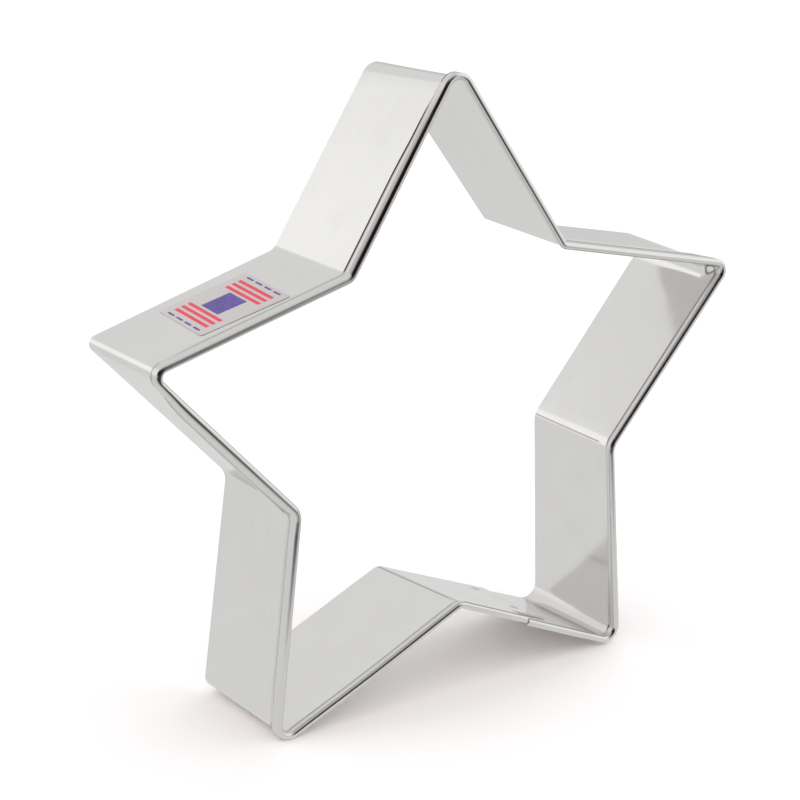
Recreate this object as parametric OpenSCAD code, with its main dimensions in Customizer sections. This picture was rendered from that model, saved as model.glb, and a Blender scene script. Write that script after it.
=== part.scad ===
// Star-shaped cookie cutter, bent from one hemmed strip of tinplate and closed with spot welds.
// It stands on its two lower points, with X across the star and Z up.
// The hemmed rim faces -Y and the cutting edge faces +Y.

/* [Star] */
// Reach from the star's centre to the inner face at each point, before rounding
tip_reach = 63; // [56:0.5:80]
// Reach from the star's centre to the inner face at each notch, before rounding
notch_reach = 35.5; // [31:0.5:40]
// Radius of the inner face in each point
tip_bend_r = 2; // [1:0.1:3]
// Radius of the inner face in each notch, about an axis outside the star
notch_bend_r = 3; // [2:0.1:5]

/* [Strip] */
// Thickness of the tinplate
sheet_t = 0.3; // [0.2:0.02:0.4]
// Depth of the cutter, from the nose of the rim to the cutting edge
strip_depth = 25.4; // [23:0.1:40]

/* [Hemmed rim] */
// Outer radius of the rolled nose
nose_r = 0.6; // [0.5:0.05:0.9]
// How far the nose stands in from the wall's inner face
nose_set_in = 0.25; // [0.1:0.05:0.4]
// Distance from the nose to where the wall comes back to its own plane
nose_run = 2.1; // [1.2:0.1:3]
// Width of the hem, from the nose to its free edge
hem_w = 2.7; // [2:0.1:5]
// Gap between the hem's free edge and the wall
hem_gap = 0.05; // [0.02:0.01:0.15]

/* [Seam] */
// Distance from the right foot's corner to the butted ends of the rim
seam_from_foot = 23; // [16:0.5:26]
// Gap between the butted ends of the rim
butt_gap = 0.4; // [0.2:0.1:1]
// Length of the tongue past the butted ends
lap_len = 8.8; // [5:0.1:9]
// Distance from the nose to the tongue's notched edge
tongue_set_back = 5.5; // [5:0.1:7]
// Gap between the two laps
lap_gap = 0.05; // [0.02:0.01:0.1]

/* [Spot welds] */
// Diameter of each weld nugget
weld_d = 2; // [1.2:0.1:2.6]
// Depth of the dent over each nugget, on both faces
weld_dent = 0.08; // [0.02:0.01:0.12]
// Distance from the nose to the weld nearer the rim
weld_set_back = 10; // [8.5:0.1:12]
// Distance from the cutting edge to the weld near it
weld_from_edge = 3.2; // [2:0.1:5]

/* [Label] */
// Length of the label along its wall
label_len = 17; // [12:0.5:19]
// Width of the label across the strip's depth
label_w = 16.6; // [13:0.1:17]
// Radius of the label's corners
label_corner_r = 0.5; // [0.2:0.1:2]
// Distance from the left point's corner to the label's middle
label_from_tip = 21; // [18:0.5:23]
// How far the label lies from the middle of the flat, towards the hem
label_off_middle = 0.45; // [0:0.05:1]
// Tilt of the label on its wall
label_tilt = -4; // [-6:0.5:6]
// Thickness of the adhesive layer
adhesive_t = 0.03; // [0.02:0.01:0.1]
// Thickness of the film
film_t = 0.07; // [0.04:0.01:0.2]
// Thickness of each ink
ink_t = 0.02; // [0.01:0.01:0.05]

/* [Label print] */
// Length of the middle panel along the wall
panel_len = 5.6; // [3:0.1:6]
// Width of the middle panel across the depth
panel_w = 6.4; // [3:0.1:12]
// Number of bars on each side of the panel
bars_per_side = 3; // [1:1:3]
// Width of each bar
bar_w = 0.7; // [0.3:0.1:0.9]
// Length of each bar
bar_len = 12.4; // [6:0.1:12.6]
// Distance from the middle of one bar to the next
bar_pitch = 1.25; // [1:0.05:1.3]
// Gap between the panel and the nearest bar
bar_gap = 0.5; // [0.2:0.1:0.6]
// Number of dashes in the rule at each end of the label
dash_count = 4; // [1:1:4]
// Length of each dash
dash_len = 2.4; // [1:0.1:2.6]
// Distance from the middle of one dash to the next
dash_pitch = 3.3; // [2.8:0.1:3.4]
// Width of each dash
dash_w = 0.4; // [0.2:0.1:0.6]
// Distance from the end of the label to the middle of its rule
rule_inset = 0.85; // [0.6:0.05:1]

/* [Hidden] */
bend_fn = 96;
nose_fn = 48;
weld_fn = 48;
corner_fn = 24;

// What bending by hand left in the five points and notches, clockwise from the top:
// extra reach in hundredths of the whole, and lean in degrees away from an even fifth of a turn
tip_spring = [-1, 3, -1, 1.5, -1.5];
tip_lean = [0.5, -0.5, -0.5, -1.5, 0];
notch_spring = [3, 3, -4, -4, 3];
notch_lean = [-2.5, 0, -1, -2.5, 0.5];

// Corners run clockwise from the top point, with points at even places and notches at odd ones.
// Each wall starts at the corner of the same number.
fifth = 360/5;
corner_count = 10;
right_point = 2;
right_foot = 4;
left_foot = 6;
left_point = 8;
seam_wall = right_foot;
label_wall = left_point;

function polar(r, a) = r*[cos(a), sin(a)];
function tip(k) = polar(tip_reach*(1 + tip_spring[k]/100), 90 - fifth*k + tip_lean[k]);
function notch(k) = polar(notch_reach*(1 + notch_spring[k]/100), 90 - fifth*(k + 0.5) + notch_lean[k]);
corners = [for (k = [0:4]) each [tip(k), notch(k)]];

function next(i) = (i + 1)%corner_count;
function prev(i) = (i + corner_count - 1)%corner_count;
function is_tip(i) = i%2 == 0;
function heading(i) = atan2(corners[next(i)].y - corners[i].y, corners[next(i)].x - corners[i].x);
function along(i) = polar(1, heading(i));
function outward(i) = polar(1, heading(i) + 90);
function turn(i) = abs((heading(prev(i)) - heading(i) + 540)%360 - 180);

// The wall that ends in the tongue lies one sheet further in, so its notch moves along the next wall
lap_shift = sheet_t + lap_gap;
function vertex(i) = i == next(seam_wall) ? corners[i] - along(i)*lap_shift/sin(turn(i)) : corners[i];
function bend_r(i) = is_tip(i) ? tip_bend_r : notch_bend_r;
function setback(i) = bend_r(i)*tan(turn(i)/2);
function bend_axis(i) = vertex(i) + along(i)*setback(i) + outward(i)*(is_tip(i) ? -bend_r(i) : bend_r(i));

// Each wall runs a little way into its bends, and the bends stand a hair proud of it
wall_bite = 0.05;
bend_swell = 0.01;

// Both feet touch the ground, and the star is centred across
foot_r = tip_bend_r + 2*nose_r - nose_set_in + bend_swell;
foot_gap = bend_axis(right_foot) - bend_axis(left_foot);
level = atan2(foot_gap.y, foot_gap.x);
function turned(p) = [p.x*cos(level) + p.y*sin(level), p.y*cos(level) - p.x*sin(level)];
ground = turned(bend_axis(right_foot)).y - foot_r;
middle = (turned(bend_axis(right_point)).x + turned(bend_axis(left_point)).x)/2;

seam_start = seam_from_foot - butt_gap/2;
seam_end = seam_from_foot + butt_gap/2;
tongue_end = seam_from_foot - lap_len;
lapped_line = corners[seam_wall] - outward(seam_wall)*lap_shift;
weld_place = seam_from_foot - lap_len/2;
weld_len = 2*sheet_t + lap_gap - 2*weld_dent;
label_set_back = (hem_w + strip_depth)/2 - label_off_middle;

// Stands the star up from the flat, where it is drawn with its rim on top
module stand() {
    translate([-middle, 0, -ground]) rotate([90, 0, 0]) rotate([0, 0, -level]) children();
}

// A leg of the section that runs at a slant between two places of its inner side
module slant(from, to, thickness) {
    across = [thickness, 0];
    polygon([from, from + across, to + across, to]);
}

// Cross-section of the strip: x is outwards from the wall's inner face, and the nose is on top.
// Every face stands proud of the plain sheet by swell.
module strip_section(swell = 0) {
    thickness = sheet_t + 2*swell;
    translate([0, strip_depth/2]) mirror([0, 1]) {
        translate([-swell, nose_run]) square([thickness, strip_depth - nose_run + swell]);
        slant([-nose_set_in - swell, nose_r], [-swell, nose_run], thickness);
        slant([2*nose_r - nose_set_in - sheet_t - swell, nose_r], [sheet_t + hem_gap - swell, hem_w], thickness);
        translate([nose_r - nose_set_in, nose_r]) difference() {
            circle(nose_r + swell, $fn = nose_fn);
            circle(nose_r - sheet_t - swell, $fn = nose_fn);
            translate([-2*nose_r, 0]) square([4*nose_r, 2*nose_r]);
        }
    }
}

// Lays its children along wall i from an origin point: their x is outwards, and their z runs along the wall
module along_wall(i, origin) {
    translate(origin) rotate([90, 0, heading(i) + 90]) children();
}

// Draws a section out between two distances along z
module run(from, to) {
    translate([0, 0, from]) linear_extrude(to - from) children();
}

// Where a wall that starts or ends at corner i stops, just inside the bend there
function wall_stop(i) = setback(i) - wall_bite;

module wall(i) {
    along_wall(i, vertex(i))
        run(wall_stop(i), norm(vertex(next(i)) - vertex(i)) - wall_stop(next(i))) strip_section();
}

// The strip bent round its axis at corner i: about the inside in a point, about the outside in a notch
module bend(i) {
    start = is_tip(i) ? heading(i) + 90 : heading(prev(i)) - 90;
    translate(bend_axis(i)) rotate([0, 0, start]) rotate_extrude(angle = turn(i), $fn = bend_fn)
        translate([bend_r(i), 0]) mirror([is_tip(i) ? 0 : 1, 0]) strip_section(bend_swell);
}

// Puts its children on wall i: their x runs along the wall, their y towards the cutting edge, their z out
module on_wall(i, from_corner, set_back, out) {
    place = vertex(i) + along(i)*from_corner + outward(i)*out;
    translate([place.x, place.y, strip_depth/2 - set_back]) rotate([0, 0, heading(i)]) rotate([-90, 0, 0])
        children();
}

module at_welds(out) {
    for (set_back = [weld_set_back, strip_depth - weld_from_edge])
        on_wall(seam_wall, weld_place, set_back, out) children();
}

// Both ends of the strip. The left one lies one sheet further in, and its tongue runs on inside the right one.
module seam() {
    hemmed_end = (vertex(next(seam_wall)) - lapped_line)*along(seam_wall) - wall_stop(next(seam_wall));
    along_wall(seam_wall, vertex(seam_wall)) run(wall_stop(seam_wall), seam_start) strip_section();
    along_wall(seam_wall, lapped_line) {
        run(seam_end, hemmed_end) strip_section();
        run(tongue_end, seam_end) translate([0, -strip_depth/2]) square([sheet_t, strip_depth - tongue_set_back]);
    }
}

module cutter_strip() {
    color("silver") stand() difference() {
        union() {
            for (i = [0:corner_count - 1]) bend(i);
            for (i = [0:corner_count - 1]) if (i != seam_wall) wall(i);
            seam();
        }
        at_welds(-2*lap_shift) cylinder(d = weld_d, h = 4*lap_shift, $fn = weld_fn);
    }
}

module spot_welds() {
    color("gray") stand() at_welds(weld_dent - lap_shift) cylinder(d = weld_d, h = weld_len, $fn = weld_fn);
}

// Puts flat label artwork at a height above the wall's outer face and gives it a thickness
module label_layer(height, thickness) {
    stand() on_wall(label_wall, label_from_tip, label_set_back, sheet_t + height)
        rotate([0, 0, label_tilt]) linear_extrude(thickness) children();
}

module label_outline() {
    straight = [label_len - 2*label_corner_r, label_w - 2*label_corner_r];
    square([straight.x, label_w], center = true);
    square([label_len, straight.y], center = true);
    for (x = [-1, 1], y = [-1, 1]) translate([x*straight.x/2, y*straight.y/2])
        circle(label_corner_r, $fn = corner_fn);
}

module label_adhesive() {
    color("ivory") label_layer(0, adhesive_t) label_outline();
}

module label_film() {
    color("white") label_layer(adhesive_t, film_t) label_outline();
}

module label_print_violet() {
    color("slateblue") label_layer(adhesive_t + film_t, ink_t) {
        square([panel_len, panel_w], center = true);
        for (side = [-1, 1], k = [0:dash_count - 1])
            translate([side*(label_len/2 - rule_inset), (k - (dash_count - 1)/2)*dash_pitch])
                square([dash_w, dash_len], center = true);
    }
}

module label_print_red() {
    color("crimson") label_layer(adhesive_t + film_t, ink_t)
        for (side = [-1, 1], k = [0:bars_per_side - 1])
            translate([side*(panel_len/2 + bar_gap + bar_w/2 + k*bar_pitch), 0])
                square([bar_w, bar_len], center = true);
}

cutter_strip();
spot_welds();
label_adhesive();
label_film();
label_print_violet();
label_print_red();
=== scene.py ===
"""A star cookie cutter of hemmed tinplate strip: its looks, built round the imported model."""
import math

import bmesh
import bpy
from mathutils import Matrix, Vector, noise


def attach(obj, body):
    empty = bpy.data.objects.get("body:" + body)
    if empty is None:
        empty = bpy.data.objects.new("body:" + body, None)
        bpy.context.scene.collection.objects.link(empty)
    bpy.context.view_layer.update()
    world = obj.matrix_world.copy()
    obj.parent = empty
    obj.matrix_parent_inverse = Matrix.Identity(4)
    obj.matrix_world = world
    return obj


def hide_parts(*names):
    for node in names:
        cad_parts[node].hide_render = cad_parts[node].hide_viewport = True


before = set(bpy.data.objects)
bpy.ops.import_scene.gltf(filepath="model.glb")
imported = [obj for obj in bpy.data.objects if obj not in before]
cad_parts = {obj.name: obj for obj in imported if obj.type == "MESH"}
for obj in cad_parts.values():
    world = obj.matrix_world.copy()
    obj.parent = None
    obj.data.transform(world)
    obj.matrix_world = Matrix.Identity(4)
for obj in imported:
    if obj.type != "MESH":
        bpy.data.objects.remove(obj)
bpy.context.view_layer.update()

# Sizes are in millimetres, and mm turns them into metres
mm = 0.001

# The star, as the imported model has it: how far its points and notches reach, and the radii of their bends
star_points = 5
tip_reach = 63
notch_reach = 35.5
tip_bend_r = 2
notch_bend_r = 3
# How far each point and notch strays from its even place, clockwise from the top: outwards in hundredths
# of its reach, and round against the clock in degrees
tip_spring = (-1, 3, -1, 1.5, -1.5)
tip_lean = (0.5, -0.5, -0.5, -1.5, 0)
notch_spring = (3, 3, -4, -4, 3)
notch_lean = (-2.5, 0, -1, -2.5, 0.5)

# Corners are numbered clockwise from the top point, and each wall starts at the corner of its number
corner_count = 2 * star_points
corner_turn = 360 / corner_count
top_angle = 90
(
    top_point, right_notch, right_point, low_right_notch, right_foot,
    low_notch, left_foot, low_left_notch, left_point, left_notch,
) = range(corner_count)
seam_wall = right_foot
label_wall = left_point

# The strip's section: the sheet and the round nose of its rim, set in from the wall's inner face. Round
# a tip the hem is pressed in to nose_out
sheet_t = 0.3
strip_depth = 25.4
cut_chamfer = 0.05
nose_r = 0.68
nose_set_in = 0.34
nose_out = 0.95
# The crease that the hemming rolls left in the wall: how it dips where it is faint and where it is deep,
# how its leg leans to the nose, and the radii of its lip and its floor
faint_dip = math.radians(8)
deep_dip = math.radians(48)
crease_lean = math.radians(20)
crease_lip_r = 0.2
crease_r = 0.12
# Between which depths the sheet stops following the rim and follows the wall
crease_blend = (1.5, 4.8)
# The hem: where the nose's round ends, its crown, its lean to the wall and the lift of its free edge,
# as ways from the front
nose_end = math.radians(74)
hem_crown_r = 3.6
hem_lean = math.radians(101)
hem_lift = math.radians(58)
hem_lift_r = 0.45
hem_lip = 0.2
hem_end = 2.33
# Over what distance from a tip's bend the hem comes up from being pressed flat
press_reach = 7

# The lapped seam and its spot welds
seam_from_foot = 23
butt_gap = 0.4
lap_len = 8.8
tongue_set_back = 5.5
lap_gap = 0.05
lap_shift = sheet_t + lap_gap
weld_r = 1
weld_dent = 0.08
weld_from_nose = (10, strip_depth - 3.2)
weld_from_foot = seam_from_foot - lap_len / 2
# The slope of the electrode's dent, as shares of the weld's radius, and the low ridge round it: its share
# of the dent, its place as a share of the radius, and its width
dent_slope = (0.6, 1.2)
ridge_rise = 0.2
ridge_at = 1.35
ridge_w = 0.2
# How far the nugget's edge stands over the floor of the dent, and the rings of its dished face, each a
# share of its radius and a rise over that edge
nugget_rise = 0.012
nugget_rings = ((0.3, 0.004), (0.6, 0.012), (0.8, 0.02), (0.95, 0.012), (1, 0))

# The label and its print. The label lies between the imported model's hem, hem_w wide, and the cutting edge
label_len = 17
label_w = 16.6
label_corner_r = 0.5
label_from_tip = 21
hem_w = 2.7
label_off_middle = 0.45
label_set_back = (hem_w + strip_depth) / 2 - label_off_middle
label_tilt = math.radians(-4)
adhesive_t = 0.03
film_t = 0.07
ink_t = 0.02
ink_corner_r = 0.12
panel_len = 5.6
panel_w = 6.4
bars_per_side = 3
bar_w = 0.7
bar_len = 12.4
bar_pitch = 1.25
bar_gap = 0.5
dash_count = 4
dash_len = 2.4
dash_pitch = 3.3
dash_w = 0.4
rule_inset = 0.85
# How a layer's cut edge is rounded: by a share of its thickness, up to a limit
edge_round = 0.3
edge_round_most = 0.02

# What bending by hand left, first at the rim and then at the cutting edge: how far each corner lies from the
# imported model's, across and up, and the radius of the inner face in its bend
hand_bends = {
    top_point: ((0.4, 0.2, 2.2), (0.1, -0.1, 2.9)),
    right_notch: ((-0.4, -0.1, 1.8), (0.6, 0.1, 1.8)),
    right_point: ((-0.9, -0.1, 1.4), (0.4, 0.4, 3.0)),
    low_right_notch: ((-1.0, 0.4, 4.0), (0.5, -0.1, 3.6)),
    right_foot: ((-0.2, 0.45, 2.0), (-0.3, 0, 2.7)),
    low_notch: ((0.4, 0.2, 2.6), (-1.3, -0.6, 2.6)),
    left_foot: ((0.6, 0, 2.0), (-0.2, 0.2, 2.0)),
    low_left_notch: ((0, -0.1, 3.6), (0, -0.1, 3.6)),
    left_point: ((0, 0.4, 1.3), (0, 0.1, 1.2)),
    left_notch: ((0.1, -0.1, 2.4), (-0.2, 0.1, 2.7)),
}
# Where the wall behind the crease bends wider than the rim does, its radius there
wide_bends = {right_point: 3.0}
# Where the hem is narrower beside a tip, by what share, and between which distances from there it widens
drawn_hem = {left_notch: 0.25}
drawn_reach = (9, 18)
# Where the rim is rolled looser, by what share its nose and hem stand wider
loose_rim = {low_left_notch: 0.35}
# How far a wall bows outwards at its middle
wall_bow = {low_notch: 0.2}
# Soft dents from the bending jaws: their wall, how far from its first corner and from the nose they lie,
# how wide they are and how far in they go
jaw_dents = (
    (right_point, 8, 8, 5, 0.12),
    (right_point, 15, 16, 8, 0.12),
    (low_right_notch, 30, 10, 7, 0.07),
    (left_notch, 32, 14, 9, 0.08),
)
# How deep the crease is in each wall, clockwise from the top point, from faint at 0 to deep at 1
crease_share = (0.05, 0.2, 1, 0.1, 0.15, 0.8, 0.3, 0.3, 0.5, 0.5)
# Between which shares of the wall above the right foot its crease turns deepest, and how deep that is
deep_above_foot = (0.74, 0.84)
deepest_crease = 1.3
# The notches with a dark line painted along the bend: how far round it the line lies, and its start from the
# nose
dark_line_bends = {low_right_notch: 0.5, low_notch: 0.5}
dark_line_from_nose = 4.2
# Slow unevenness of the sheet: how far it strays and over what distance
waver = 0.04
waver_pitch = 24

# How finely the strip is cut into faces: the steps along a wall and round a bend, the length of the steps
# by the seam and down the wall, and how short they get in the zone round each weld
wall_steps = 14
bend_steps = 14
seam_step = 1.2
flat_step = 1.3
weld_step = 0.25
weld_zone = 1.5
# Its steps from the tongue's notched side to the crease, over the crease's lip and floor, round the nose,
# over the hem's crown and lifted edge, and its shares along the two straights between
fore_steps = 7
lip_steps = 5
crease_steps = 7
nose_steps = 24
crown_steps = 6
lift_steps = 8
leg_shares = (0.35, 0.7, 1)
hem_shares = (0.5, 1)
# Steps round a nugget, a label layer's rings as shares of its outline, and the steps of that outline
# round a corner and along a side
nugget_sides = 32
layer_rings = (0.25, 0.5, 0.75, 0.97, 1)
corner_steps = 4
side_steps = 6
# Edges that turn more than this stay hard, and places nearer than this are the same
hard_turn = math.radians(32)
same_place = 1e-6

# The tin's colours: two tones of grain, then smudged, specked, with a dark line painted along a bend, and
# worked by the rolls, with how strongly each shows, and the steel that the cut edges lay bare
tin_tones = (0.73, 0.721, 0.705), (0.805, 0.799, 0.785)
smudged_tin, smudge_shows = (0.6, 0.585, 0.57), 0.06
specked_tin, speck_shows = (0.25, 0.23, 0.21), 0.4
dark_bend_line_tone, dark_bend_line_shows = (0.12, 0.1, 0.1), 0.75
worked_tin, work_shows = (0.6, 0.59, 0.58), 0.3
bare_steel = (0.46, 0.45, 0.44)
# How much of the bare steel shows at the tongue's notched side
notch_side_cut = 0.15
# How far behind the nose, along the sheet, the worked tin starts and is full
worked_from, worked_full = 2.6, 1.9
# How bright the tin mirrors at a glancing view
glancing_tint = 0.93
# The other finishes, each with two tones
weld_tones = (0.36, 0.35, 0.34), (0.58, 0.58, 0.58)
glue_tones = (0.72, 0.7, 0.67), (0.8, 0.78, 0.75)
film_tones = (0.42, 0.41, 0.405), (0.46, 0.45, 0.445)
violet_tones = (0.04, 0.01, 0.22), (0.15, 0.1, 0.4)
red_tones = (0.62, 0.002, 0.04), (0.66, 0.04, 0.1)
# Where clouds turn into smudges, where a speck has its edge, how rare specks are, and a dot of ink's edge
smudge_edge = (0.35, 0.68)
speck_edge = (0.04, 0.08)
speck_rarity = (0.97, 0.98)
dot_edge = (0.2, 0.6)
# Ripples in the varnish and grains in the floor, to a metre
ripples_per_m = 900.0
grains_per_m = 400.0

# The camera: its place, its aim, its lens and sensor, its roll in degrees and how near it sees
camera_place = Vector((-213.0, -310.93, 172.81)) * mm
camera_aim = Vector((-5.79, 0, 52.59)) * mm
camera_lens = 99.39
camera_sensor = 36
camera_roll = -0.48
camera_near = 10 * mm

# The floor, and how bright the metal mirrors the white studio
floor_r = 3000 * mm
floor_sides = 96
floor_tones = (0.89, 0.89, 0.89), (0.91, 0.91, 0.91)
mirrored_light = 0.825
# In the metal the floor is a painted glow, with painted shade ahead of the cutter and to its left: where
# that shade lies, on a slant, and by what share. It falls further in green and blue, so its dark is warm
floor_ahead = (-50 * mm, -140 * mm)
floor_leftward = (150 * mm, 0.0)
floor_wedge = 0.25
floor_painted_shade = 0.93
floor_tints = (1, 1, 1), (0, -0.06, -0.06)
# How bright the walls are in the metal, and round patches of them that differ: the middle of each, in
# degrees round to the right and up, the two angles from there between which it fades, and what it adds
wall_light = 1.03
wall_patches = (
    ((-149, 13), 7, 21, 0.36),
    ((72, 16), 20, 55, 0.33),
    ((140, 10), 8, 24, -0.2),
    ((-35, 45), 25, 52, -0.35),
)
# The dark doorway ahead in the same terms, and what it takes away
doorway = ((0, 17), 15, 37)
doorway_dark = -0.92
# The long dark opening at the front left: its middle, where its length points, half its length and width
# in degrees, the shares of these between which it fades, and what it takes away
opening_middle = (-42, 24)
opening_towards = (0, 4)
opening_reach = (62, 24)
opening_fade = (0.65, 1.35)
opening_dark = -0.985
opening_tints = (1, 1, 1), (1, 0.82, 0.83)
# The soft light that falls on everything dull: from straight above, and how much it gains to the horizon
dome_light = 1.15
horizon_gain = 1.5


def polar(reach, angle):
    turn = math.radians(angle)
    return Vector((math.cos(turn), math.sin(turn))) * reach


def packed_corners():
    """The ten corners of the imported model's inner face."""
    found = []
    for k in range(star_points):
        tip_angle = top_angle - 2 * corner_turn * k
        found.append(polar(tip_reach * (1 + tip_spring[k] / 100), tip_angle + tip_lean[k]))
        notch_angle = tip_angle - corner_turn
        found.append(polar(notch_reach * (1 + notch_spring[k] / 100), notch_angle + notch_lean[k]))
    return found


def is_tip(i):
    return i % 2 == 0


class EdgeLine:
    """The inner face at one depth: ten straight walls joined by round bends."""

    def __init__(self, corners, radii):
        self.corners = corners
        self.radii = radii
        following = corners[1:] + corners[:1]
        self.along = [(after - here).normalized() for here, after in zip(corners, following)]

    def outward(self, i):
        return Vector((-self.along[i].y, self.along[i].x))

    def turn(self, i):
        return self.along[i - 1].angle(self.along[i])

    def setback(self, i):
        return self.radii[i] * math.tan(self.turn(i) / 2)

    def bend_axis(self, i):
        side = -1 if is_tip(i) else 1
        return self.corners[i] + self.along[i] * self.setback(i) + self.outward(i) * side * self.radii[i]

    def wall(self, i, share):
        """A place on wall i and the way out from it, a share of the way from bend to bend."""
        after = (i + 1) % corner_count
        start = self.corners[i] + self.along[i] * self.setback(i)
        end = self.corners[after] - self.along[i] * self.setback(after)
        bow = wall_bow.get(i, 0) * math.sin(math.pi * share) ** 2
        return start.lerp(end, share) + self.outward(i) * bow, self.outward(i)

    def on_wall(self, i, distance):
        """A place on wall i and the way out from it, at a distance from its first corner."""
        return self.corners[i] + self.along[i] * distance, self.outward(i)

    def bend(self, i, share):
        """A place on bend i and the way out from it, a share of the way round."""
        clockwise = -1 if is_tip(i) else 1
        angle = clockwise * self.turn(i) * share
        start = self.outward(i - 1)
        out = Vector((
            start.x * math.cos(angle) - start.y * math.sin(angle),
            start.x * math.sin(angle) + start.y * math.cos(angle),
        ))
        return self.bend_axis(i) - out * clockwise * self.radii[i], out

    def lapped(self):
        """The same line where its seam wall lies one sheet further in, up to the next bend."""
        moved = list(self.corners)
        after = seam_wall + 1
        moved[seam_wall] = moved[seam_wall] - self.outward(seam_wall) * lap_shift
        moved[after] = moved[after] - self.along[after] * lap_shift / math.sin(self.turn(after))
        return EdgeLine(moved, self.radii)


packed_radii = [tip_bend_r if is_tip(i) else notch_bend_r for i in range(corner_count)]
packed_star = EdgeLine(packed_corners(), packed_radii)


def standing():
    """How the flat star is stood up: its level, the height of the ground and its middle across."""
    left, right = packed_star.bend_axis(left_foot), packed_star.bend_axis(right_foot)
    level = math.atan2(right.y - left.y, right.x - left.x)

    def turned(p):
        return Vector((
            p.x * math.cos(level) + p.y * math.sin(level),
            p.y * math.cos(level) - p.x * math.sin(level),
        ))

    ground = turned(right).y - (tip_bend_r + nose_out)
    far_right, far_left = (turned(packed_star.bend_axis(i)).x for i in (right_point, left_point))
    return turned, ground, (far_right + far_left) / 2


turned, ground, middle_across = standing()


def stood_up(p, depth):
    """A flat point and its depth behind the nose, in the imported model's frame in metres."""
    q = turned(p)
    return Vector((q.x - middle_across, depth - strip_depth / 2, q.y - ground)) * mm


def hand_line(end):
    """The line of the rim, end 0, or of the cutting edge, end 1, as it was bent by hand."""
    bends = [hand_bends[i][end] for i in range(corner_count)]
    corners = [c + Vector((across, up)) for c, (across, up, _) in zip(packed_star.corners, bends)]
    return EdgeLine(corners, [radius for _, _, radius in bends])


rim_line, edge_line = hand_line(0), hand_line(1)
rim_lap, edge_lap = rim_line.lapped(), edge_line.lapped()
wide_line = EdgeLine(rim_line.corners, [wide_bends.get(i, r) for i, r in enumerate(rim_line.radii)])


def jaw_dent(place, depth):
    """How far in the bending jaws pressed the sheet at a place of the flat star and a depth."""
    pressed = 0
    for wall, from_corner, from_nose, width, height in jaw_dents:
        dented = rim_line.corners[wall] + rim_line.along[wall] * from_corner
        reach = math.hypot((place - dented).length, depth - from_nose) / width
        pressed += height * math.exp(-reach * reach)
    return pressed


class Station:
    """A cross-section of the strip: its place and way out at the rim, the cutting edge and the wall.

    By shares, its hem is pressed flat or drawn narrow, its crease deep, a dark line painted on its face, its
    rim loose."""

    def __init__(self, rim, edge, pressed=0, crease=0, dark_line=0, wall=None, loose=0, drawn=0):
        self.rim, self.rim_out = rim
        self.edge, self.edge_out = edge
        self.wall, self.wall_out = wall or rim
        self.pressed = pressed
        self.crease = crease
        self.dark_line = dark_line
        self.loose = loose * (1 - pressed)
        self.drawn = drawn

    def point(self, out_by, depth, behind=0):
        """A place on the sheet: behind is how far it belongs to the wall and not to the rim."""
        share = depth / strip_depth
        place = self.rim.lerp(self.wall, behind).lerp(self.edge, share)
        out = self.rim_out.lerp(self.wall_out, behind).lerp(self.edge_out, share).normalized()
        where = Vector((place.x, depth, place.y)) / waver_pitch
        stray = waver * noise.noise(where) - behind * jaw_dent(place, depth)
        return stood_up(place + out * (out_by + stray), depth)


def steps(start, end, count):
    """Even steps from start up to but not at end."""
    return [start + (end - start) * k / count for k in range(count)]


def between(first, second, share):
    return first + (second - first) * share


def smooth_share(value, low, high):
    t = min(1, max(0, (value - low) / (high - low)))
    return t * t * (3 - 2 * t)


def near_tip(from_tip):
    """How far the hem is pressed flat at a distance along a wall from a tip's bend."""
    return 1 - smooth_share(from_tip, 0, press_reach)


def seam_station(rim, edge, distance):
    pressed = near_tip(distance - rim.setback(seam_wall))
    where = rim.on_wall(seam_wall, distance), edge.on_wall(seam_wall, distance)
    return Station(*where, pressed, crease_share[seam_wall])


def wall_station(rim, edge, i, share):
    after = (i + 1) % corner_count
    length = (rim.corners[after] - rim.corners[i]).length - rim.setback(i) - rim.setback(after)
    from_tip = length * (share if is_tip(i) else 1 - share)
    crease = crease_share[i]
    if i == low_right_notch:
        crease = between(crease, deepest_crease, smooth_share(share, *deep_above_foot))
    drawn = drawn_hem.get(i, 0) * (1 - smooth_share(from_tip, *drawn_reach))
    wall = wide_line.wall(i, share) if rim is rim_line else None
    where = rim.wall(i, share), edge.wall(i, share)
    return Station(*where, near_tip(from_tip), crease, wall=wall, loose=loose_rim.get(i, 0), drawn=drawn)


def bend_station(rim, edge, i, share):
    before = (i - 1) % corner_count
    pressed = 1 if is_tip(i) else 0
    first_crease = deepest_crease if i == right_foot else crease_share[before]
    crease = between(first_crease, crease_share[i], share)
    on_dark_line = i in dark_line_bends and abs(share - dark_line_bends[i]) < 0.5 / bend_steps
    loose = between(loose_rim.get(before, 0), loose_rim.get(i, 0), share)
    drawn = pressed * between(drawn_hem.get(before, 0), drawn_hem.get(i, 0), share)
    wall = wide_line.bend(i, share) if rim is rim_line else None
    where = rim.bend(i, share), edge.bend(i, share)
    return Station(*where, pressed, crease, 1 if on_dark_line else 0, wall, loose, drawn)


def weld_steps(middles, low, high, step):
    """Places from low to high that are close together near each weld."""
    even = {round(p, 4) for p in steps(low, high, round((high - low) / step))}
    found = {p for p in even if all(abs(p - m) > weld_zone for m in middles)} | {low, high}
    reach = round(weld_zone / weld_step)
    for m in middles:
        found.update(m + k * weld_step for k in range(-reach, reach + 1))
    return sorted(p for p in found if low <= p <= high)


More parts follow.
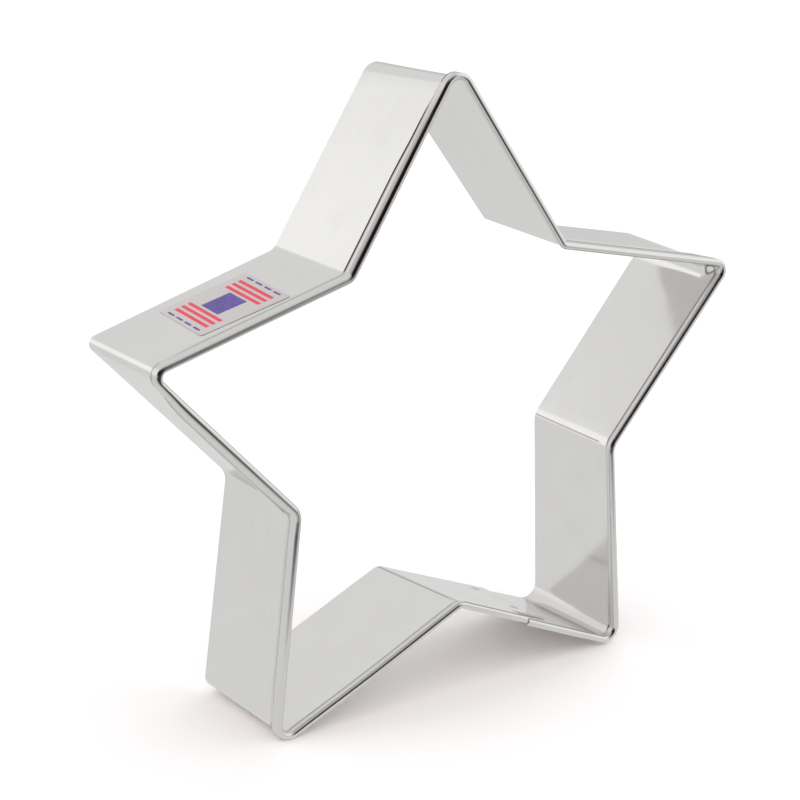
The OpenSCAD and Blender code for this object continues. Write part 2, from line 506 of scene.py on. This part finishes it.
def strip_stations():
    """Cross-sections clockwise from the tongue to the outer lap's end, and how many are the tongue's."""
    tongue_end = seam_from_foot - lap_len
    left_start = seam_from_foot + butt_gap / 2
    right_end = seam_from_foot - butt_gap / 2
    found = [seam_station(rim_lap, edge_lap, tongue_end)]
    tongue = weld_steps([weld_from_foot], tongue_end + cut_chamfer, left_start, seam_step)
    found += [seam_station(rim_lap, edge_lap, distance) for distance in tongue]
    tongue_count = len(found) - 1
    after = seam_wall + 1
    left_run = [
        (line.corners[after] - line.corners[seam_wall]).length - line.setback(after)
        for line in (rim_lap, edge_lap)
    ]
    for share in steps(0, 1, wall_steps)[1:]:
        rim_at, edge_at = (left_start + (run - left_start) * share for run in left_run)
        where = rim_lap.on_wall(seam_wall, rim_at), edge_lap.on_wall(seam_wall, edge_at)
        found.append(Station(*where, 0, crease_share[seam_wall]))
    for k in range(after, after + corner_count):
        i = k % corner_count
        rim, edge = (rim_lap, edge_lap) if k == after else (rim_line, edge_line)
        found += [bend_station(rim, edge, i, share) for share in steps(0, 1, bend_steps)]
        if i != seam_wall:
            found += [wall_station(rim, edge, i, share) for share in steps(0, 1, wall_steps)]
    first = [line.setback(seam_wall) for line in (rim_line, edge_line)]
    where = rim_line.on_wall(seam_wall, first[0]), edge_line.on_wall(seam_wall, first[1])
    found.append(Station(*where, 1, crease_share[seam_wall]))
    outer_lap = weld_steps([weld_from_foot], max(first) + seam_step, right_end - cut_chamfer, seam_step)
    found += [seam_station(rim_line, edge_line, distance) for distance in outer_lap]
    found.append(seam_station(rim_line, edge_line, right_end))
    return found, tongue_count


class Row:
    """One line along the strip: the middle of the sheet, its half thickness and the way to its shown face.

    That is the wall's inner face, which goes on round the nose as the hem's outer face."""

    def __init__(self, out_by, depth, angle, half):
        self.out_by = out_by
        self.depth = depth
        self.way = (math.sin(angle), -math.cos(angle))
        self.half = half


def arc(start, first, last, radius, count):
    """Places and ways along a round stretch of the section, where each way is an angle from the front."""
    side = 1 if last > first else -1
    found = []
    for k in range(1, count + 1):
        a = first + (last - first) * k / count
        step = Vector((math.sin(a) - math.sin(first), math.cos(first) - math.cos(a))) * radius * side
        found.append((start + step, a))
    return found


def section_rows(crease_dip):
    """The strip's section from the cutting edge, over the crease, round the nose and down the hem."""
    half = sheet_t / 2
    middle_r = nose_r - half
    nose_middle = Vector((nose_r - nose_set_in, nose_r))
    wall_way, leg_way = -math.pi / 2, -math.pi / 2 - crease_lean
    crease = arc(Vector((half, 0)), wall_way, wall_way + crease_dip, crease_lip_r, lip_steps)
    crease += arc(crease[-1][0], wall_way + crease_dip, leg_way, crease_r, crease_steps)
    leg_end = nose_middle + Vector((math.sin(leg_way), -math.cos(leg_way))) * middle_r
    crease_end = crease[-1][0]
    shift = leg_end.y + (crease_end.x - leg_end.x) / math.tan(crease_lean) - crease_end.y
    flat = weld_steps(weld_from_nose, tongue_set_back, strip_depth - cut_chamfer, flat_step)
    flat += steps(shift, tongue_set_back, fore_steps)
    middles = [(Vector((half, depth)), wall_way) for depth in sorted(flat, reverse=True)]
    middles += [(place + Vector((0, shift)), way) for place, way in crease]
    middles += [(middles[-1][0].lerp(leg_end, share), leg_way) for share in leg_shares]
    middles += arc(leg_end, leg_way, nose_end, middle_r, nose_steps)
    middles += arc(middles[-1][0], nose_end, hem_lean, hem_crown_r, crown_steps)
    lift = arc(Vector((0, 0)), hem_lean, hem_lift, hem_lift_r, lift_steps)
    lift_along = Vector((math.cos(hem_lift), math.sin(hem_lift)))
    run = (hem_end - middles[-1][0].y - lift[-1][0].y - lift_along.y * hem_lip) / math.sin(hem_lean)
    hem_along = Vector((math.cos(hem_lean), math.sin(hem_lean)))
    middles += [(middles[-1][0] + hem_along * run * share, hem_lean) for share in hem_shares]
    middles += [(middles[-1][0] + place, way) for place, way in lift]
    middles.append((middles[-1][0] + lift_along * hem_lip, hem_lift))
    hem_edge = middles[-1][0]
    past_edge = lift_along * cut_chamfer
    rows = [Row(half, strip_depth, wall_way, half - cut_chamfer)]
    rows += [Row(place.x, place.y, way, half) for place, way in middles]
    rows.append(Row(hem_edge.x + past_edge.x, hem_edge.y + past_edge.y, hem_lift, half - cut_chamfer))
    return rows


def new_piece(name, bm, material):
    """Turns a mesh into a piece: smooth all over, with a hard line at each sharp edge."""
    bmesh.ops.recalc_face_normals(bm, faces=bm.faces)
    for face in bm.faces:
        face.smooth = True
    for edge in bm.edges:
        edge.smooth = len(edge.link_faces) == 2 and edge.calc_face_angle() < hard_turn
    mesh = bpy.data.meshes.new(name)
    bm.to_mesh(mesh)
    bm.free()
    mesh.materials.append(material)
    piece = bpy.data.objects.new(name, mesh)
    bpy.context.scene.collection.objects.link(piece)
    return piece


def weld_print(distance, depth):
    """How deep the electrode pressed the sheet at a distance from the right foot and a depth."""
    pressed = 0
    for from_nose in weld_from_nose:
        gap = math.hypot(distance - weld_from_foot, depth - from_nose)
        ridge = ridge_rise * math.exp(-((gap - ridge_at * weld_r) / ridge_w) ** 2)
        slope = smooth_share(gap, dent_slope[0] * weld_r, dent_slope[1] * weld_r)
        pressed += weld_dent * (1 - slope - ridge)
    return pressed


def tinplate_strip(material):
    """The strip as one sheet: a grid over both faces, closed by a narrow band at every cut edge."""
    stations, tongue_count = strip_stations()
    faint_rows, deep_rows = section_rows(faint_dip), section_rows(deep_dip)
    bm = bmesh.new()
    strip_place = bm.verts.layers.float_vector.new("strip_place")
    cut_edge = bm.verts.layers.float.new("cut_edge")
    bend_dark_line = bm.verts.layers.float.new("bend_dark_line")
    last_station, last_row = len(stations) - 1, len(deep_rows) - 1
    notch_row = next(j for j, row in enumerate(deep_rows) if abs(row.depth - tongue_set_back) < same_place)
    nose_front = next(j for j, row in enumerate(deep_rows) if row.way[0] > 0)

    def present(k, j):
        if not (0 <= k < last_station and 0 <= j < last_row):
            return False
        return k >= tongue_count or j < notch_row

    lengths = [0]
    for before, after in zip(stations, stations[1:]):
        step = (after.rim + after.edge - before.rim - before.edge).length / 2
        lengths.append(lengths[-1] + step)
    widths = [0]
    for before, after in zip(deep_rows, deep_rows[1:]):
        widths.append(widths[-1] + math.hypot(after.out_by - before.out_by, after.depth - before.depth))

    def electrode(k, depth, shown):
        """How far an electrode pressed the tongue's shown face or the outer lap's other face."""
        on_tongue = lengths[k] < lap_len
        on_outer_lap = lengths[-1] - lengths[k] < seam_from_foot
        if not (on_tongue or on_outer_lap) or on_tongue != shown:
            return 0
        distance = (stations[k].rim - rim_line.corners[seam_wall]).dot(rim_line.along[seam_wall])
        return weld_print(distance, depth) * (1 if shown else -1)

    def vertex(k, j, shown):
        station, faint, deep = stations[k], faint_rows[j], deep_rows[j]
        at_sheet_end, at_cut_row = k in (0, last_station), j in (0, last_row)
        half = deep.half - cut_chamfer if at_sheet_end and not at_cut_row else deep.half
        side = 1 if shown else -1
        way = Vector(faint.way).lerp(Vector(deep.way), station.crease).normalized() * side * half
        out_by = between(faint.out_by, deep.out_by, station.crease) + way.x
        depth = between(faint.depth, deep.depth, station.crease) + way.y
        if j > nose_front:
            proud = deep.out_by + deep.half * deep.way[0] - nose_out
            out_by -= station.pressed * max(0, proud)
            depth -= station.drawn * max(0, depth - nose_r)
        rolled = 1 if j > nose_front else 1 - smooth_share(depth, nose_r, crease_blend[0])
        out_by += station.loose * rolled * (out_by + nose_set_in)
        behind = smooth_share(depth, *crease_blend) if j < nose_front else 0
        pressed = electrode(k, depth, shown) if j < nose_front else 0
        v = bm.verts.new(station.point(out_by + pressed, depth, behind))
        v[strip_place] = Vector((lengths[k], widths[j], side)) * mm
        # A dark line painted along the bend, on the shown face only
        v[bend_dark_line] = station.dark_line if shown and depth > dark_line_from_nose else 0
        if at_sheet_end or at_cut_row:
            v[cut_edge] = 1
        elif k <= tongue_count and j == notch_row:
            v[cut_edge] = notch_side_cut
        return v

    used = sorted({
        corner
        for k in range(last_station)
        for j in range(last_row)
        if present(k, j)
        for corner in ((k, j), (k + 1, j), (k, j + 1), (k + 1, j + 1))
    })
    shown = {at: vertex(*at, True) for at in used}
    hidden = {at: vertex(*at, False) for at in used}
    for k in range(last_station):
        for j in range(last_row):
            if not present(k, j):
                continue
            ring = [(k, j), (k + 1, j), (k + 1, j + 1), (k, j + 1)]
            bm.faces.new([shown[at] for at in ring])
            bm.faces.new([hidden[at] for at in reversed(ring)])
            beside = ((k, j - 1), (k + 1, j), (k, j + 1), (k - 1, j))
            for neighbour, a, b in zip(beside, ring, ring[1:] + ring[:1]):
                if not present(*neighbour):
                    bm.faces.new([shown[b], shown[a], hidden[a], hidden[b]])
    return new_piece("tinplate_strip", bm, material)


def cover(bm, middle_vertex, rings):
    """Faces from a middle vertex out over the rings round it."""
    before = None
    for ring in rings:
        for k, corner in enumerate(ring):
            after = (k + 1) % len(ring)
            if before is None:
                bm.faces.new([middle_vertex, corner, ring[after]])
            else:
                bm.faces.new([before[k], corner, ring[after], before[after]])
        before = ring


def close_edge(bm, low_ring, high_ring):
    """A band of faces between the outermost rings of two faces."""
    for k in range(len(low_ring)):
        after = (k + 1) % len(low_ring)
        bm.faces.new([low_ring[k], low_ring[after], high_ring[after], high_ring[k]])


def weld_nugget(bm, from_nose):
    """A pressed disc through both laps, dished on both faces."""
    faces = (
        (rim_lap, edge_lap, -1, weld_dent - nugget_rise),
        (rim_line, edge_line, 1, sheet_t - weld_dent + nugget_rise),
    )
    outermost = []
    for rim, edge, side, level in faces:
        middle_vertex = bm.verts.new(seam_station(rim, edge, weld_from_foot).point(level, from_nose))
        rings = []
        for reach, rise in nugget_rings:
            ring = []
            for a in steps(0, 2 * math.pi, nugget_sides):
                station = seam_station(rim, edge, weld_from_foot + weld_r * reach * math.cos(a))
                depth = from_nose + weld_r * reach * math.sin(a)
                ring.append(bm.verts.new(station.point(level + side * rise, depth)))
            rings.append(ring)
        cover(bm, middle_vertex, rings)
        outermost.append(rings[-1])
    close_edge(bm, *outermost)


def spot_welds(material):
    bm = bmesh.new()
    for from_nose in weld_from_nose:
        weld_nugget(bm, from_nose)
    return new_piece("weld_nuggets", bm, material)


def label_point(x, y, height):
    """A place on the label: x along the wall and y to the cutting edge from its middle, in its own tilt."""
    along = label_from_tip + x * math.cos(label_tilt) - y * math.sin(label_tilt)
    depth = label_set_back + x * math.sin(label_tilt) + y * math.cos(label_tilt)
    station = Station(rim_line.on_wall(label_wall, along), edge_line.on_wall(label_wall, along))
    return station.point(sheet_t + height, depth)


def lay_patch(bm, outline, middle_at, low, high):
    """A thin patch on the label's wall: rings from its middle out to its outline, on both faces."""
    round_over = min(edge_round * (high - low), edge_round_most)
    outermost = []
    for height, drop in ((low, round_over), (high, -round_over)):
        middle_vertex = bm.verts.new(label_point(*middle_at, height))
        rings = []
        for share in layer_rings:
            level = height + drop if share == 1 else height
            places = [
                (middle_at[0] + (x - middle_at[0]) * share, middle_at[1] + (y - middle_at[1]) * share)
                for x, y in outline
            ]
            rings.append([bm.verts.new(label_point(x, y, level)) for x, y in places])
        cover(bm, middle_vertex, rings)
        outermost.append(rings[-1])
    close_edge(bm, *outermost)


def round_rectangle(length, width, radius, middle_at):
    """A rectangle's outline with round corners and extra places along its sides."""
    reach = (length / 2 - radius, width / 2 - radius)
    found = []
    for quarter, (sx, sy) in enumerate(((1, 1), (-1, 1), (-1, -1), (1, -1))):
        for k in range(corner_steps + 1):
            a = math.radians(90 * (quarter + k / corner_steps))
            found.append((
                middle_at[0] + sx * reach[0] + radius * math.cos(a),
                middle_at[1] + sy * reach[1] + radius * math.sin(a),
            ))
    full = []
    for k, here in enumerate(found):
        after = found[(k + 1) % len(found)]
        ends_corner = k % (corner_steps + 1) == corner_steps
        for share in steps(0, 1, side_steps if ends_corner else 1):
            full.append((between(here[0], after[0], share), between(here[1], after[1], share)))
    return full


def label_layer(name, material, patches, low, high):
    """A layer of the label: patches of a length, width, corner radius and middle, from low to high."""
    bm = bmesh.new()
    label_place = bm.verts.layers.float_vector.new("label_place")
    for length, width, radius, middle_at in patches:
        lay_patch(bm, round_rectangle(length, width, radius, middle_at), middle_at, low, high)
    origin = label_point(0, 0, 0)
    along = (label_point(1, 0, 0) - origin).normalized()
    across = (label_point(0, 1, 0) - origin).normalized()
    for v in bm.verts:
        v[label_place] = Vector(((v.co - origin).dot(along), (v.co - origin).dot(across), 0))
    return new_piece(name, bm, material)


def violet_patches():
    """The middle panel and the dashed rule at each end."""
    found = [(panel_len, panel_w, ink_corner_r, (0, 0))]
    for side in (-1, 1):
        for k in range(dash_count):
            middle_at = (side * (label_len / 2 - rule_inset), (k - (dash_count - 1) / 2) * dash_pitch)
            found.append((dash_w, dash_len, ink_corner_r, middle_at))
    return found


def red_patches():
    """The bars on both sides of the panel."""
    first_bar = panel_len / 2 + bar_gap + bar_w / 2
    return [
        (bar_w, bar_len, ink_corner_r, (side * (first_bar + k * bar_pitch), 0))
        for side in (-1, 1)
        for k in range(bars_per_side)
    ]


def put(tree, kind, inputs=(), **settings):
    """Adds a shader node with its options and its inputs, each a value or another node's output."""
    made = tree.nodes.new("ShaderNode" + kind)
    for name, value in settings.items():
        setattr(made, name, value)
    for name, value in dict(inputs).items():
        if isinstance(value, bpy.types.NodeSocket):
            tree.links.new(value, made.inputs[name])
        else:
            made.inputs[name].default_value = value
    return made


def sums(tree, operation, *values):
    return put(tree, "Math", enumerate(values), operation=operation).outputs[0]


def times(tree, first, second):
    return sums(tree, "MULTIPLY", first, second)


def added(tree, start, *masks):
    """A start value with each mask times its own amount added."""
    for mask, amount in masks:
        start = sums(tree, "MULTIPLY_ADD", mask, amount, start)
    return start


def remap(tree, value, low, high, to_low=0.0, to_high=1.0):
    """Turns a range of values into another, smoothly and held at its ends."""
    inputs = {"Value": value, "From Min": low, "From Max": high, "To Min": to_low, "To Max": to_high}
    return put(tree, "MapRange", inputs, interpolation_type="SMOOTHSTEP").outputs["Result"]


# The Mix node's sockets share their names, so they go by number
first_value, second_value, mixed_value = 2, 3, 0
first_colour, second_colour, mixed_colour = 6, 7, 2


def toned(tree, share, *tones):
    """A colour part way from one tone to another, plain or not, by a changing share."""
    first, second = (tone if isinstance(tone, bpy.types.NodeSocket) else (*tone, 1) for tone in tones)
    inputs = {"Factor": share, first_colour: first, second_colour: second}
    return put(tree, "Mix", inputs, data_type="RGBA").outputs[mixed_colour]


def switched(tree, mask, off, on):
    """One value where a mask is off and another where it is on."""
    inputs = {"Factor": mask, first_value: off, second_value: on}
    return put(tree, "Mix", inputs).outputs[mixed_value]


def new_group(name, ins, outs):
    """An empty node group and its two end nodes. An input has a starting value, or None for a place."""
    group = bpy.data.node_groups.new(name, "ShaderNodeTree")
    for socket, start in ins.items():
        kind = "NodeSocketVector" if start is None else "NodeSocketFloat"
        made = group.interface.new_socket(name=socket, in_out="INPUT", socket_type=kind)
        if start is not None:
            made.default_value = start
    for socket in outs:
        group.interface.new_socket(name=socket, in_out="OUTPUT", socket_type="NodeSocketFloat")
    return group, group.nodes.new("NodeGroupInput"), group.nodes.new("NodeGroupOutput")


def rolled_grain_group():
    """Fine lines along the strip from the rolling mill, as a value round one half."""
    ins = {"Place": None, "Lines per mm": 6.0, "Length of a line": 12.0}
    group, start, end = new_group("rolled grain", ins, ["Lines"])
    parts = put(group, "SeparateXYZ", {"Vector": start.outputs["Place"]})
    per_m = times(group, start.outputs["Lines per mm"], 1 / mm)
    across = times(group, parts.outputs["Y"], per_m)
    stretched = sums(group, "DIVIDE", per_m, start.outputs["Length of a line"])
    along = times(group, parts.outputs["X"], stretched)
    where = put(group, "CombineXYZ", {"X": along, "Y": across, "Z": parts.outputs["Z"]})
    lines = put(group, "TexNoise", {"Vector": where.outputs[0], "Scale": 1.0, "Detail": 3.0})
    group.links.new(lines.outputs["Fac"], end.inputs["Lines"])
    return group


def smudge_group():
    """Soft cloudy patches from handling and a few specks."""
    ins = {"Patch size mm": 9.0, "Speck size mm": 1.6}
    group, start, end = new_group("handling smudges", ins, ["Smudge", "Specks"])
    where = put(group, "NewGeometry").outputs["Position"]
    patch_scale = sums(group, "DIVIDE", 1 / mm, start.outputs["Patch size mm"])
    cloudy = {"Vector": where, "Scale": patch_scale, "Detail": 4.0, "Roughness": 0.55}
    clouds = put(group, "TexNoise", cloudy)
    speck_scale = sums(group, "DIVIDE", 1 / mm, start.outputs["Speck size mm"])
    dots = put(group, "TexVoronoi", {"Vector": where, "Scale": speck_scale})
    small = remap(group, dots.outputs["Distance"], *speck_edge, 1.0, 0.0)
    lot = put(group, "SeparateColor", {"Color": dots.outputs["Color"]}).outputs["Red"]
    rare = remap(group, lot, *speck_rarity)
    group.links.new(remap(group, clouds.outputs["Fac"], *smudge_edge), end.inputs["Smudge"])
    group.links.new(times(group, small, rare), end.inputs["Specks"])
    return group


def print_wear_group():
    """The slight unevenness of print and film: dots of ink, and ripples in the varnish."""
    ins = {"Place": None, "Dot pitch mm": 0.25}
    group, start, end = new_group("print wear", ins, ["Dots", "Ripple"])
    where = start.outputs["Place"]
    scale = sums(group, "DIVIDE", 1 / mm, start.outputs["Dot pitch mm"])
    dots = put(group, "TexVoronoi", {"Vector": where, "Scale": scale})
    group.links.new(remap(group, dots.outputs["Distance"], *dot_edge), end.inputs["Dots"])
    ripple = put(group, "TexNoise", {"Vector": where, "Scale": ripples_per_m, "Detail": 2.0})
    group.links.new(ripple.outputs["Fac"], end.inputs["Ripple"])
    return group


rolled_grain = rolled_grain_group()
handling_smudges = smudge_group()
print_wear = print_wear_group()


def use_group(tree, group, **inputs):
    """Places a group in a material with its own values, whose names have _ for each space."""
    named = {name.replace("_", " "): value for name, value in inputs.items()}
    return put(tree, "Group", named, node_tree=group).outputs


def painted(tree, layer, kind="Fac"):
    """What a piece's mesh holds at each vertex under a layer's name."""
    return put(tree, "Attribute", attribute_name=layer).outputs[kind]


def new_material(name):
    """An empty material with a Principled shader, and its tree."""
    material = bpy.data.materials.new(name)
    material.use_nodes = True
    tree = material.node_tree
    return material, tree, tree.nodes["Principled BSDF"]


def finish(tree, shader, colour, rough):
    """Gives a shader the colour and the roughness that change over its surface."""
    tree.links.new(colour, shader.inputs["Base Color"])
    tree.links.new(rough, shader.inputs["Roughness"])


def raised(tree, shader, height, strength, distance):
    """Gives a shader a bump from a height that changes over its surface."""
    inputs = {"Height": height, "Strength": strength, "Distance": distance * mm}
    tree.links.new(put(tree, "Bump", inputs).outputs["Normal"], shader.inputs["Normal"])


def tinplate():
    """Bright rolled tin: a soft mirror with fine grain, faint smudges, and bare steel at the cut edges."""
    material, tree, shader = new_material("bright tinplate")
    place = painted(tree, "strip_place", "Vector")
    cut = painted(tree, "cut_edge")
    dark_line = painted(tree, "bend_dark_line")
    grain = use_group(tree, rolled_grain, Place=place, Lines_per_mm=5.0, Length_of_a_line=30.0)["Lines"]
    marks = use_group(tree, handling_smudges, Patch_size_mm=11.0, Speck_size_mm=1.8)
    smudge, specks = marks["Smudge"], marks["Specks"]
    from_edge = put(tree, "SeparateXYZ", {"Vector": place}).outputs["Y"]
    worked = remap(tree, from_edge, (strip_depth - worked_from) * mm, (strip_depth - worked_full) * mm)
    tone = toned(tree, grain, *tin_tones)
    tone = toned(tree, remap(tree, smudge, 0, 1, 0, smudge_shows), tone, smudged_tin)
    tone = toned(tree, times(tree, specks, speck_shows), tone, specked_tin)
    # A dark line painted along the bend of two notches
    tone = toned(tree, times(tree, dark_line, dark_bend_line_shows), tone, dark_bend_line_tone)
    tone = toned(tree, times(tree, worked, work_shows), tone, worked_tin)
    tone = toned(tree, cut, tone, bare_steel)
    rough = added(tree, 0.1, (grain, 0.05), (smudge, 0.05), (worked, 0.06), (cut, 0.25))
    finish(tree, shader, tone, rough)
    raised(tree, shader, grain, strength=0.04, distance=0.05)
    shader.inputs["Metallic"].default_value = 1
    shader.inputs["Specular Tint"].default_value = (glancing_tint, glancing_tint, glancing_tint, 1)
    return material


def weld_metal():
    """A pressed weld spot: greyer and rougher than the tin."""
    material, tree, shader = new_material("pressed weld spot")
    smudge = use_group(tree, handling_smudges, Patch_size_mm=0.5, Speck_size_mm=0.4)["Smudge"]
    finish(tree, shader, toned(tree, smudge, *weld_tones), added(tree, 0.28, (smudge, 0.15)))
    raised(tree, shader, smudge, strength=0.3, distance=0.02)
    shader.inputs["Metallic"].default_value = 1
    return material


def label_wear(tree, dot_pitch):
    return use_group(tree, print_wear, Place=painted(tree, "label_place", "Vector"), Dot_pitch_mm=dot_pitch)


def adhesive():
    """Thin clear glue that shows only at the label's edge."""
    material, tree, shader = new_material("clear label glue")
    ripple = label_wear(tree, 0.6)["Ripple"]
    finish(tree, shader, toned(tree, ripple, *glue_tones), added(tree, 0.35, (ripple, 0.2)))
    return material


def label_film():
    """Frosted film, nearly the tone of the tin below it."""
    material, tree, shader = new_material("frosted label film")
    ripple = label_wear(tree, 0.5)["Ripple"]
    finish(tree, shader, toned(tree, ripple, *film_tones), added(tree, 0.35, (ripple, 0.15)))
    raised(tree, shader, ripple, strength=0.03, distance=0.02)
    return material


def printed_ink(name, tones, dot_pitch, pale_share):
    """Screened ink: fine paler dots in the solid colour."""
    material, tree, shader = new_material(name)
    wear = label_wear(tree, dot_pitch)
    pale = times(tree, sums(tree, "SUBTRACT", 1.0, wear["Dots"]), pale_share)
    finish(tree, shader, toned(tree, pale, *tones), added(tree, 0.25, (wear["Ripple"], 0.15)))
    return material


def plain_floor():
    """A pale floor with a fine tooth. In the metal it is a painted glow, even but for painted shade towards
    the dark opening.
    """
    material, tree, shader = new_material("pale floor")
    where = put(tree, "NewGeometry").outputs["Position"]
    tooth = put(tree, "TexNoise", {"Vector": where, "Scale": grains_per_m, "Detail": 2.0})
    pale = toned(tree, tooth.outputs["Fac"], *floor_tones)
    tree.links.new(pale, shader.inputs["Base Color"])
    shader.inputs["Roughness"].default_value = 1
    shader.inputs["Specular IOR Level"].default_value = 0
    # Rays mirrored straight from the metal see a painted glow with painted shade ahead and to the left; all
    # others see the lit floor
    parts = put(tree, "SeparateXYZ", {"Vector": where}).outputs
    ahead = remap(tree, parts["Y"], *floor_ahead)
    leftward = remap(tree, added(tree, parts["X"], (parts["Y"], floor_wedge)), *floor_leftward)
    painted_shade = times(tree, times(tree, ahead, leftward), floor_painted_shade)
    painted_glow = {"Color": toned(tree, painted_shade, *floor_tints), "Strength": mirrored_light}
    mirrored = put(tree, "Emission", painted_glow)
    rays = put(tree, "LightPath").outputs
    before_dull = sums(tree, "LESS_THAN", rays["Diffuse Depth"], 0.5)
    glossy = times(tree, rays["Is Glossy Ray"], before_dull)
    mix = put(tree, "MixShader", {0: glossy, 1: shader.outputs[0], 2: mirrored.outputs[0]})
    tree.links.new(mix.outputs[0], tree.nodes["Material Output"].inputs["Surface"])
    return material


def dress(piece, node):
    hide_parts(node)
    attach(piece, "root")


film_top = adhesive_t + film_t
ink_top = film_top + ink_t
label_shape = [(label_len, label_w, label_corner_r, (0, 0))]
violet = printed_ink("violet ink", violet_tones, dot_pitch=0.45, pale_share=0.45)
red = printed_ink("red ink", red_tones, dot_pitch=0.4, pale_share=0.3)
dress(tinplate_strip(tinplate()), "cutter_strip")
dress(spot_welds(weld_metal()), "spot_welds")
dress(label_layer("label_glue", adhesive(), label_shape, 0, adhesive_t), "label_adhesive")
dress(label_layer("label_face", label_film(), label_shape, adhesive_t, film_top), "label_film")
violet_print = label_layer("violet_print", violet, violet_patches(), film_top, ink_top)
dress(violet_print, "label_print_violet")
red_print = label_layer("red_print", red, red_patches(), film_top, ink_top)
dress(red_print, "label_print_red")


def studio_floor():
    """A wide round floor."""
    bm = bmesh.new()
    bmesh.ops.create_circle(bm, cap_ends=True, cap_tris=True, segments=floor_sides, radius=floor_r)
    new_piece("studio_floor", bm, plain_floor())


def photo_camera():
    """The camera at the photograph's angle."""
    data = bpy.data.cameras.new("camera")
    data.lens = camera_lens
    data.sensor_width = camera_sensor
    data.clip_start = camera_near
    camera = bpy.data.objects.new("camera", data)
    bpy.context.scene.collection.objects.link(camera)
    view = (camera_aim - camera_place).normalized()
    camera.location = camera_place
    camera.rotation_euler = view.to_track_quat("-Z", "Y").to_matrix().to_4x4().to_euler()
    camera.rotation_euler.rotate_axis("Z", math.radians(camera_roll))
    bpy.context.scene.camera = camera


def compass(azimuth, height):
    """A way out from the cutter: degrees round from the front to the right, and degrees above the floor."""
    a, h = math.radians(azimuth), math.radians(height)
    return Vector((math.sin(a) * math.cos(h), -math.cos(a) * math.cos(h), math.sin(h)))


def studio_world():
    """White walls all round that the metal mirrors, and a long dark opening at the front left."""
    world = bpy.data.worlds.new("studio")
    bpy.context.scene.world = world
    world.use_nodes = True
    tree = world.node_tree
    background = tree.nodes["Background"]
    way = put(tree, "TexCoord").outputs["Generated"]

    def facing(direction):
        dot = put(tree, "VectorMath", {0: way, 1: direction}, operation="DOT_PRODUCT")
        return dot.outputs["Value"]

    def patch(middle, inner, outer):
        """A round patch of the walls: 1 up to its inner angle and 0 past its outer one."""
        fade = math.cos(math.radians(outer)), math.cos(math.radians(inner))
        return remap(tree, facing(compass(*middle)), *fade)

    def opening():
        """The long opening as an oval: 1 up to its inner share and 0 past its outer one."""
        middle, towards = compass(*opening_middle), compass(*opening_towards)
        along = (towards - middle * towards.dot(middle)).normalized()
        half_along, half_across = (math.sin(math.radians(half)) for half in opening_reach)
        far_along = sums(tree, "DIVIDE", facing(along), half_along)
        far_across = sums(tree, "DIVIDE", facing(middle.cross(along)), half_across)
        square = times(tree, far_across, far_across)
        reach = sums(tree, "SQRT", added(tree, square, (far_along, far_along)))
        ahead = sums(tree, "GREATER_THAN", facing(middle), 0.0)
        inner, outer = opening_fade
        return times(tree, remap(tree, reach, outer, inner), ahead)

    room = opening()
    walls = added(tree, wall_light, *((patch(*place), more) for *place, more in wall_patches))
    walls = times(tree, walls, added(tree, 1.0, (patch(*doorway), doorway_dark)))
    walls = times(tree, walls, added(tree, 1.0, (room, opening_dark)))
    mirrored = times(tree, walls, mirrored_light)
    height = put(tree, "SeparateXYZ", {"Vector": way}).outputs["Z"]
    low = sums(tree, "SUBTRACT", 1.0, sums(tree, "ABSOLUTE", height))
    dome = added(tree, dome_light, (times(tree, low, low), horizon_gain))
    rays = put(tree, "LightPath").outputs
    lit = switched(tree, rays["Is Diffuse Ray"], mirrored, dome)
    seen = switched(tree, rays["Is Camera Ray"], lit, 1.0)
    tree.links.new(seen, background.inputs["Strength"])
    tree.links.new(toned(tree, room, *opening_tints), background.inputs["Color"])


studio_floor()
photo_camera()
studio_world()
bpy.context.scene.view_settings.view_transform = "Standard"
